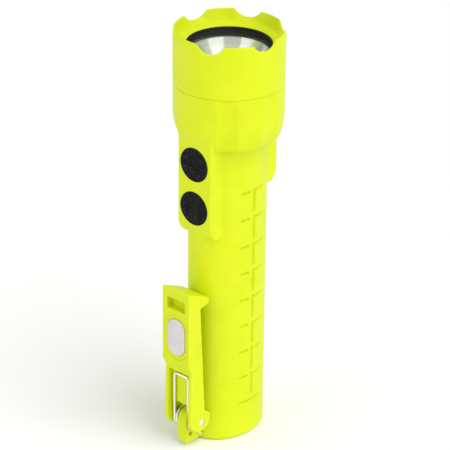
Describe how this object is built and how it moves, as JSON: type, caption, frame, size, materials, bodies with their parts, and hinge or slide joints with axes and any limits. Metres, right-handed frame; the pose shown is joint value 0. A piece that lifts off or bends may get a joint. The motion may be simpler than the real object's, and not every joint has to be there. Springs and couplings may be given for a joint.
{
  "type": "firefighter flashlight",
  "caption": "Straight dual-light flashlight with an oval handle, a crenellated screw-on bezel, two rubber buttons, a floodlight window and a sprung magnetic clip.",
  "frame": {"origin": "centre of the flat tail face, on the light's axis", "axes": "+Z along the axis from the tail to the bezel; -Y is the front, with the buttons and the clip; +Y is the back, with the floodlight"},
  "size_m": [0.05, 0.0598, 0.1993],
  "materials": {
    "hi_vis_nylon": "fine satin moulded nylon, fluorescent yellow-green",
    "clear_lens": "clear polished polycarbonate",
    "black_rubber": "matt moulded rubber",
    "button_rubber": "matt rubber with a fine raised grid",
    "reflector_chrome": "bright vacuum-metallised, lightly faceted",
    "aluminium": "machined",
    "circuit_board": "green solder mask",
    "led_phosphor": "silicone over yellow phosphor",
    "grey_plastic": "moulded",
    "switch_plastic": "moulded",
    "white_plastic": "gloss white moulded",
    "cell_jacket": "plain sleeve over a steel can",
    "contact_brass": "stamped",
    "spring_steel": "drawn wire and ground pin, bright",
    "magnet_nickel": "satin nickel plate"
  },
  "bodies": {
    "body": {"body_housing": "hi_vis_nylon", "clip_knuckle": "hi_vis_nylon", "bezel_o_ring": "black_rubber", "reflector": "reflector_chrome", "heat_sink": "aluminium", "led_board": "circuit_board", "led_emitter": "led_phosphor", "module_frame": "grey_plastic", "driver_board": "circuit_board", "switch_board": "circuit_board", "flashlight_switch": "switch_plastic", "floodlight_switch": "switch_plastic", "flashlight_button_rim": "black_rubber", "floodlight_button_rim": "black_rubber", "flood_window": "clear_lens", "flood_board": "circuit_board", "flood_reflector": "white_plastic", "flood_leds": "led_phosphor", "aa_cell_1": "cell_jacket", "aa_cell_2": "cell_jacket", "aa_cell_3": "cell_jacket", "aa_cell_4": "cell_jacket", "battery_carrier": "grey_plastic", "carrier_contacts": "contact_brass", "carrier_leaf_springs": "contact_brass", "module_contact_pins": "contact_brass", "clip_hinge_pin": "spring_steel"},
    "lens_stack": {"lens": "clear_lens", "lens_gasket": "black_rubber"},
    "bezel": {"bezel": "hi_vis_nylon"},
    "flashlight_button": {"flashlight_button": "button_rubber", "flashlight_plunger": "switch_plastic"},
    "floodlight_button": {"floodlight_button": "button_rubber", "floodlight_plunger": "switch_plastic"},
    "clip": {"clip_lever": "hi_vis_nylon", "clip_magnet": "magnet_nickel", "clip_spring": "spring_steel"}
  },
  "joints": [
    {"name": "bezel_lift", "type": "slide", "parent": "body", "child": "lens_stack", "axis": [0, 0, 1], "range_m": [0, 0.0075]},
    {"name": "bezel_unscrew", "type": "hinge", "parent": "lens_stack", "child": "bezel", "pos_m": [0, 0, 0.187], "axis": [0, 0, 1], "range_deg": [0, 1800]},
    {"name": "flashlight_press", "type": "slide", "parent": "body", "child": "flashlight_button", "axis": [0, 1, 0], "range_m": [0, 0.001], "stiffness_N_per_m": 2500, "springref_m": -0.0005},
    {"name": "floodlight_press", "type": "slide", "parent": "body", "child": "floodlight_button", "axis": [0, 1, 0], "range_m": [0, 0.001], "stiffness_N_per_m": 2500, "springref_m": -0.0005},
    {"name": "clip_hinge", "type": "hinge", "parent": "body", "child": "clip", "pos_m": [0, -0.025, 0.013], "axis": [1, 0, 0], "range_deg": [0, 20], "stiffness_Nm_per_rad": 0.8, "springref_deg": -34.38, "deforming": ["clip_spring"]}
  ],
  "couplings": [
    {"joint": "bezel_lift", "follows": "bezel_unscrew", "m_per_rad": 0.00023873}
  ]
}
